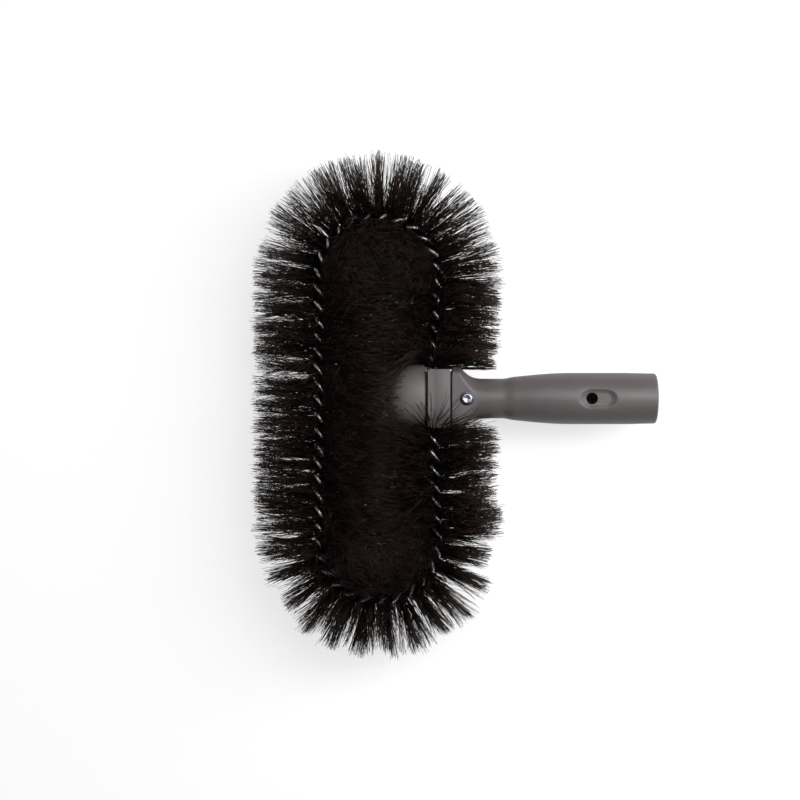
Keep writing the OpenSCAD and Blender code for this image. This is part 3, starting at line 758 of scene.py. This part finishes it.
def grow_filaments(route, sizes, start, stop, arm, rng):
    """Root, direction and the rest of every filament of one arm of the fill from start to stop."""
    tufts = int((stop - start) / MM * sizes.per_mm / 2 / TUFT)
    count = tufts * TUFT
    tuft = np.repeat(np.arange(tufts), TUFT)

    def by_tuft(width):
        return rng.normal(0, width, tufts)[tuft]

    def by_filament(width):
        return rng.normal(0, width, count)

    place = (np.arange(tufts) + rng.uniform(0, 1, tufts)) / tufts
    s = np.clip(start + (stop - start) * place[tuft] + by_filament(PLACE_SCATTER), start, stop)
    on_bend = route.on_bend(s)
    # The upper bend is wound evenly, and the lower one less so: its tufts stay apart
    upper_bend = on_bend & (s < route.ends[4])
    lower_bend = on_bend & (s > route.ends[4])
    far_side = (s > route.ends[3]) & (s < route.ends[4])
    stray = rng.random(tufts)[tuft] < sizes.stray_share * np.where(lower_bend, LOWER_STRAYS, 1)
    swing = np.where(stray, by_tuft(sizes.stray), by_tuft(sizes.spread))
    swing = swing * np.where(lower_bend, LOWER_SWING, 1)
    # The first few above and below the clamp stand out all round, so that they close up to the block
    closed = (s < route.stub + CLOSED_LEN) | (s > route.length - route.stub - LOWER_CLOSED_LEN)
    swing = np.where(closed, rng.uniform(-ALL_ROUND, ALL_ROUND, count), swing)
    angle = route.twist(s) + math.pi * (arm + 0.5) + swing + by_filament(TURN_SCATTER)
    # Inside the loop the tufts are ruffled, so that they close its middle
    inner = np.cos(angle) < -UPRIGHT
    upright = abs(np.cos(angle)) < UPRIGHT
    ruffle = np.select([inner, upright, upper_bend, lower_bend], RUFFLE, 1.0)
    lean = ruffle * (by_tuft(sizes.lean) + by_filament(LEAN_SCATTER))
    loose = rng.random(count) < LOOSE_SHARE
    lean = lean + loose * by_filament(LOOSE_LEAN)
    # Each half turn of the wires leans and is trimmed a little in its own way
    half_turn = np.floor(route.twist(s) / math.pi).astype(int) % HALF_TURNS
    own = rng.normal(0, 1, (2, HALF_TURNS))[:, half_turn]
    lean = lean + own[0] * np.where(lower_bend, *OWN_LEAN)
    # Inside a bend there is no room for every filament, so they part to both faces of the loop, and
    # along the straight sides they catch in those from the other side and are drawn in
    inward = np.mod(angle, 2 * math.pi) - math.pi
    part = np.where(inward + by_filament(PART_BLUR) < 0, -1, 1)
    moved = np.where(on_bend, part * rng.uniform(*PARTED, count), -DRAWN_IN * inward)
    angle = angle + moved * np.exp(-((inward / INWARD) ** 2))
    lean, calm, lift = lean_by_clamp(route, s, angle, lean, rng)
    trim = rng.exponential(np.where(inner, INNER_TRIM, OUTER_TRIM))
    trim = trim - own[1] * np.where(lower_bend, *OWN_TRIM)
    trim = trim + by_tuft(TUFT_TRIM) + lower_bend * LOWER_SHORTER
    # The inner ones on the straight sides are longer, most of all those that reach over the nose cap
    height = route.at(s)[0][:, 1]
    facing_cap = far_side * np.exp(-((height / CAP_REACH) ** 2))
    over = np.where(on_bend, BEND_OVER, INNER_OVER) + CAP_OVER * facing_cap
    longer = over * np.maximum(-np.cos(angle), 0) ** 2
    # Few stand up in front of a wire, so that it shows
    before_wire = (np.sin(angle) > WIRE_UP) & (abs(swing) > WIRE_SWING) & ~closed
    thin = np.select([far_side | upper_bend, lower_bend], [FAR_THIN, LOWER_THIN], 0.0)
    thin = np.where(before_wire, np.where(far_side, WIRE_THIN, WIRE_THIN / 2), thin)
    kept = (inner & ~before_wire) | (rng.random(count) > thin)
    hairs = {
        "s": s,
        "angle": angle,
        "lean": lean,
        "length": sizes.reach + TRIM_OVER - np.maximum(trim, 0) + longer,
        "curl": lift[:, None] * [[0, 1, 0]]
        + calm[:, None]
        * (
            by_tuft(TUFT_CURL)[:, None] * unit(rng.normal(0, 1, (tufts, 3)))[tuft]
            + by_filament(CURL)[:, None] * unit(rng.normal(0, 1, (count, 3)))
        ),
        "crimp": rng.uniform(*CRIMP, count) * MM,
        "crimp_turn": unit(rng.normal(0, 1, (count, 3))),
        "crimp_phase": rng.uniform(0, 2 * math.pi, count),
        # Loose filaments are painted lighter, as glints
        "tone": np.clip(rng.beta(2, 5, count) + by_tuft(0.08) + loose * LOOSE_GLINT, 0, 1),
    }
    return {key: values[kept] for key, values in hairs.items()}


def lean_by_clamp(route, s, angle, lean, rng):
    """Lean along the core near the clamp: (lean, share of the curl that is kept, lift of the tips)."""
    count = len(s)
    out, up = np.cos(angle), np.sin(angle)
    from_upper = (s - route.stub) / MM
    from_lower = (route.length - route.stub - s) / MM
    above, below = np.maximum(from_upper, 0), np.maximum(from_lower, 0)
    share = rng.uniform(0, 1, count)
    # Above the clamp the outer tufts end in a clean edge that dips to the block and rises again
    edge = np.clip(1 - from_upper / EDGE_LEN, 0, 1)
    dip = np.radians(np.interp(from_upper, DIP_AT, DIP))
    clean = lean * (1 - edge) + edge * (abs(lean) * 0.4 * (from_upper > 2.5) + dip)
    # Those that stand up from the face are combed away from the clamp
    combed = np.clip(up - 0.2, 0, 1) * np.exp(-above / COMBED_LEN) * COMBED
    # The inner ones from further up lie down over the cap's far shoulder, and leave the rest of it clear
    inner = lean - share * np.interp(from_upper, OVER_CAP_AT, np.radians(OVER_CAP))
    clear = np.minimum((from_upper - 2.6) / 13, (from_upper + 11) / 26) * np.abs(out)
    inner = np.where((up > -0.3) & (from_upper < 60), np.maximum(inner, -np.arctan(clear)), inner)
    lean = np.where(out < 0.1, inner, clean) + combed
    # Behind the clamp they close round it
    behind = (up < 0) & (abs(out) < 0.35)
    lean = lean - behind * share * np.exp(-above / BEHIND_LEN) * BEHIND
    # Below the clamp they splay up over it, furthest those that stand up from the face
    near = np.exp(-((below / RISE_LEN) ** 1.5))
    rise = np.interp(out, RISE_AT, np.radians(RISE))
    wisp = (out > 0.75) & (rng.random(count) < OUTER_WISPS)
    wisp = wisp | ((abs(out) < 0.6) & (rng.random(count) < UPRIGHT_WISPS))
    rise = np.where(wisp, np.maximum(rise, WISP) * 1.25, rise)
    lift = EDGE_LIFT * (out > 0.1) * np.clip(1 - from_upper / 3, 0, 1)
    lean = lean * (1 - 0.75 * near) + near * rise * (0.2 + 0.8 * share)
    return lean, 1 - 0.8 * edge * (out > -0.1), lift


def unit(v):
    return v / np.linalg.norm(v, axis=-1, keepdims=True)


def filament_points(route, sizes, hairs, t):
    """Points of every filament at the shares t of its length."""
    middle, tangent, outward = route.at(hairs["s"])
    square = turned(outward, hairs["angle"])
    lean = hairs["lean"][:, None]
    direction = np.cos(lean) * square + np.sin(lean) * tangent
    t = np.asarray(t)[None, :, None]
    length = hairs["length"][:, None, None]
    wave = np.sin(t * 2 * math.pi * CRIMP_WAVES + hairs["crimp_phase"][:, None, None]) * t
    points = middle[:, None] + t * length * direction[:, None]
    points = points + length * t**2 * hairs["curl"][:, None]
    points = points + wave * hairs["crimp"][:, None, None] * hairs["crimp_turn"][:, None]
    points = np.where(t > ROOT_SHARE, clear_of_clamp(points), points)
    points[..., 2] = np.maximum(points[..., 2], CAD_BOX[0].z + FLOOR_CLEAR)
    return points, direction


def filament_mesh(name, route, sizes, hairs):
    """Three-sided filaments with cut ends, as one mesh."""
    count = len(hairs["s"])
    points, direction = filament_points(route, sizes, hairs, RINGS_AT)
    helper = np.where(abs(direction[:, 2:3]) < 0.8, [[0, 0, 1]], [[1, 0, 0]])
    first = unit(np.cross(direction, helper))
    second = np.cross(direction, first)
    radius = sizes.thickness / 2 * (1 - TAPER * RINGS_AT)
    ring = np.arange(SIDES) * 2 * math.pi / SIDES
    cos, sin = np.cos(ring)[None, :, None], np.sin(ring)[None, :, None]
    around = cos * first[:, None] + sin * second[:, None]
    vertices = points[:, :, None] + radius[None, :, None, None] * around[:, None]
    levels = len(RINGS_AT)
    per = levels * SIDES
    one, counts = tube_faces(levels, SIDES)
    corners = (np.arange(count)[:, None] * per + one[None]).ravel()
    mesh = raise_mesh(name, vertices.reshape(-1, 3), corners, np.tile(counts, count))

    along = np.repeat(RINGS_AT, SIDES)
    for key, values in ((ALONG, np.tile(along, count)), (TONE, np.repeat(hairs["tone"], per))):
        data = mesh.attributes.new(key, "FLOAT", "POINT").data
        data.foreach_set("value", values.astype(np.float32))

    # One cell of the map for each filament: its length across the cell, its sides up it
    cells = math.ceil(math.sqrt(count))
    side = np.tile(np.arange(SIDES), levels - 1)
    quad_v = np.stack([side, side + 1, side + 1, side], -1).ravel()
    v = np.concatenate([quad_v, np.arange(SIDES), np.arange(SIDES)]) / SIDES
    in_cell = np.stack([along[one], v], -1)
    cell = np.arange(count)
    corner = np.stack([cell % cells, cell // cells], -1)[:, None]
    uv = (corner + CELL_MARGIN + (1 - 2 * CELL_MARGIN) * in_cell[None]) / cells
    mesh.uv_layers.new(name=BAKE_MAP).data.foreach_set("uv", uv.astype(np.float32).ravel())
    return mesh


# ---------------- operators


class BRUSH_OT_mouldings(Operator):
    """Mould the grip, and dress the clamp block in the same plastic and the nose cap in a copy of it
    painted lighter for the light it catches
    """

    bl_idname = "brush.mouldings"
    bl_label = "Mouldings"

    def execute(self, context):
        colours = context.scene.brush_colours
        plastic = moulded_plastic("Moulded plastic", colours.grip)
        # The cap's plastic is painted lighter, for the light its dome catches
        cap_plastic_painted_lighter = moulded_plastic("Cap plastic painted lighter", colours.cap)
        grip_moulding(context.scene.brush_grip, plastic)
        dress("clamp_block", "clamp_block_moulding", plastic, 0.4 * MM, shape_block)
        dress("nose_cap", "nose_cap_moulding", cap_plastic_painted_lighter, 0.5 * MM)
        return {"FINISHED"}


class BRUSH_OT_fasteners(Operator):
    """Plate the screws and the nut with zinc, and paint the washer dark blue-grey for the shade round the
    screw head
    """

    bl_idname = "brush.fasteners"
    bl_label = "Fasteners"

    def execute(self, context):
        colours = context.scene.brush_colours
        plated = steel("Zinc plate", colours.plated, PLATED)
        # The washer is painted dark, for the shade round the screw head
        shaded_washer_steel = steel("Dark blue-grey steel", colours.washer, PLATED)
        for node in ("clamp_screw", "clamp_nut", "nose_screw"):
            dress(node, f"{node}_plated", plated, 0.08 * MM)
        dress("screw_washer", "screw_washer_blued", shaded_washer_steel, 0.1 * MM)
        return {"FINISHED"}


# Rings of points in each turn of a wire, and points in each ring
RINGS_A_TURN, WIRE_SIDES = 22, 12


class BRUSH_OT_core(Operator):
    """Twist the two core wires and crimp the sleeves on their ends"""

    bl_idname = "brush.core"
    bl_label = "Core"

    def execute(self, context):
        sizes = context.scene.brush_loop
        route = Route(sizes)
        drawn = steel("Galvanised wire", context.scene.brush_colours.wire, GALVANISED)
        for letter, side in (("a", 0.0), ("b", math.pi)):
            name = f"twisted_wire_{letter}"
            tube = twisted_wire(route, sizes.wire_d / 2, side, RINGS_A_TURN, WIRE_SIDES)
            mesh = raise_mesh(name, *tube)
            mesh.materials.append(drawn)
            stand_for(link(name, mesh), f"core_wire_{letter}")
        for end in ("upper", "lower"):
            dress(f"end_sleeve_{end}", f"crimped_sleeve_{end}", drawn, 0.15 * MM)
        return {"FINISHED"}


# Lengths of the fill in order from the clamp's upper end, and where the first begins
FILL_LENGTHS = ["right_upper", "top_right", "top_left", "left_upper"]
FILL_LENGTHS += ["left_lower", "bottom_left", "bottom_right", "right_lower"]
FILL_FROM_STUB = -0.6 * MM


class BRUSH_OT_bristles(Operator):
    """Grow both arms of the twisted-in bristle fill, length by length"""

    bl_idname = "brush.bristles"
    bl_label = "Bristles"

    def execute(self, context):
        sizes = context.scene.brush_bristles
        route = Route(context.scene.brush_loop)
        colours = context.scene.brush_colours
        hair = brown_black_filament(colours.bristle, colours.tip)
        e = route.ends
        first = e[1] + FILL_FROM_STUB
        cuts = [first, e[2], (e[2] + e[3]) / 2, e[3], (e[3] + e[4]) / 2]
        cuts += [e[4], (e[4] + e[5]) / 2, e[5], e[6] - FILL_FROM_STUB]
        rng = np.random.default_rng(FILL_SEED)
        for k, length in enumerate(FILL_LENGTHS):
            for arm, letter in enumerate("ab"):
                name = f"bristle_fill_{length}_{letter}"
                hairs = grow_filaments(route, sizes, cuts[k], cuts[k + 1], arm, rng)
                mesh = filament_mesh(name, route, sizes, hairs)
                mesh.materials.append(hair)
                stand_for(link(name, mesh), f"bristles_{length}")
        return {"FINISHED"}


# The photograph's frame, its scale, and where the mouth of the socket is in it
IMAGE_SIDE = 800
MM_PER_PIXEL = 0.65
MOUTH_PIXEL = (655.8, 398.5)
CAMERA_HEIGHT = 1.23
SENSOR = 36.0
# Reach of the floor, its tone under the lamps, and the light that the camera sees it add
FLOOR_REACH, FLOOR_TONE, FLOOR_WHITE = 40.0, 0.42, 0.71
WORLD_LEVEL = 0.13
# Place from the middle of the picture, size and power of each lamp, in metres and watts
LAMPS = {
    "Top softbox": ((0.3, 0.36, 1.15), (0.8, 0.6), 6.9),
    "Left softbox": ((-0.9, 0.25, 0.6), (0.4, 0.8), 1.5),
    "Right softbox": ((0.46, 0.12, 0.42), (0.25, 0.5), 2.8),
}


class BRUSH_OT_stage(Operator):
    """Set out the floor, the lamps, the world and the camera"""

    bl_idname = "brush.stage"
    bl_label = "Stage"

    def execute(self, context):
        x, y = (pixel - IMAGE_SIDE / 2 for pixel in MOUTH_PIXEL)
        middle = Vector((-x, y, 0)) * (MM_PER_PIXEL * MM)
        self.floor(middle)
        for name, (offset, size, watts) in LAMPS.items():
            self.lamp(name, middle, offset, size, watts)
        self.world()
        self.camera(middle)
        return {"FINISHED"}

    def floor(self, middle):
        far = FLOOR_REACH
        mesh = bpy.data.meshes.new("floor")
        z = CAD_BOX[0].z
        corner = [(-far, -far), (far, -far), (far, far), (-far, far)]
        mesh.from_pydata([(middle.x + x, middle.y + y, z) for x, y in corner], [], [(0, 1, 2, 3)])
        floor = link("floor", mesh)
        material, tree, shader = new_material("Pale floor")
        tone = (FLOOR_TONE, FLOOR_TONE, FLOOR_TONE)
        feed(shader, {"Base Color": tone, "Roughness": 1, "Specular IOR Level": 0})
        # The camera and mirrors see the floor white: its own tone under the lamps, and the rest added
        path = put(tree, "ShaderNodeLightPath")
        seen = maths(tree, "MAXIMUM", path.outputs["Is Camera Ray"], path.outputs["Is Glossy Ray"])
        seen = maths(tree, "MAXIMUM", seen, path.outputs["Is Transmission Ray"])
        white = put(tree, "ShaderNodeEmission")
        feed(white, {"Strength": maths(tree, "MULTIPLY", seen, FLOOR_WHITE)})
        both = put(tree, "ShaderNodeAddShader")
        feed(both, {0: shader.outputs[0], 1: white.outputs[0]})
        out = next(n for n in tree.nodes if n.type == "OUTPUT_MATERIAL")
        feed(out, {"Surface": both.outputs[0]})
        mesh.materials.append(material)

    def lamp(self, name, middle, offset, size, watts):
        data = bpy.data.lights.new(name, "AREA")
        data.shape = "RECTANGLE"
        data.size, data.size_y = size
        data.energy = watts
        lamp = link(name, data)
        lamp.location = middle + Vector(offset)
        lamp.rotation_mode = "QUATERNION"
        lamp.rotation_quaternion = (-Vector(offset)).to_track_quat("-Z", "Y")

    def world(self):
        world = bpy.data.worlds.new("Studio")
        bpy.context.scene.world = world
        world.use_nodes = True
        tree = world.node_tree
        tree.nodes.clear()
        seen = put(tree, "ShaderNodeLightPath").outputs["Is Camera Ray"]
        skies = {0: seen}
        for k, level in ((1, WORLD_LEVEL), (2, 1)):
            sky = put(tree, "ShaderNodeBackground")
            skies[k] = feed(sky, {"Color": (1, 1, 1), "Strength": level}).outputs[0]
        mix = feed(put(tree, "ShaderNodeMixShader"), skies)
        feed(put(tree, "ShaderNodeOutputWorld"), {"Surface": mix.outputs[0]})

    def camera(self, middle):
        data = bpy.data.cameras.new("Camera")
        data.sensor_width = SENSOR
        data.lens = SENSOR * CAMERA_HEIGHT / (IMAGE_SIDE * MM_PER_PIXEL * MM)
        data.clip_start, data.clip_end = 0.05, 20
        camera = link("Camera", data)
        camera.location = middle + Vector((0, 0, CAMERA_HEIGHT))
        bpy.context.scene.camera = camera
        bpy.context.scene.view_settings.view_transform = "Standard"


class BRUSH_PT_panel(Panel):
    """Sizes, colours and steps of the brush."""

    bl_idname = "BRUSH_PT_panel"
    bl_label = "Cobweb brush"
    bl_space_type = "VIEW_3D"
    bl_region_type = "UI"
    bl_category = "Brush"

    def draw(self, context):
        for group in GROUPS:
            box = self.layout.box()
            for key in GROUPS[group].__annotations__:
                box.prop(getattr(context.scene, group), key)
        for step in STEPS:
            self.layout.operator(step.bl_idname)


GROUPS = {
    "brush_grip": GripSizes,
    "brush_loop": LoopSizes,
    "brush_bristles": BristleSizes,
    "brush_colours": BrushColours,
}
STEPS = [BRUSH_OT_mouldings, BRUSH_OT_fasteners, BRUSH_OT_core, BRUSH_OT_bristles, BRUSH_OT_stage]


def register():
    for made in (*GROUPS.values(), *STEPS, BRUSH_PT_panel):
        bpy.utils.register_class(made)
    for key, group in GROUPS.items():
        setattr(bpy.types.Scene, key, PointerProperty(type=group))


def unregister():
    for key in GROUPS:
        delattr(bpy.types.Scene, key)
    for made in (BRUSH_PT_panel, *reversed(STEPS), *reversed(GROUPS.values())):
        bpy.utils.unregister_class(made)


def main():
    register()
    bpy.ops.brush.mouldings()
    bpy.ops.brush.fasteners()
    bpy.ops.brush.core()
    bpy.ops.brush.bristles()
    bpy.ops.brush.stage()


if __name__ == "__main__":
    main()
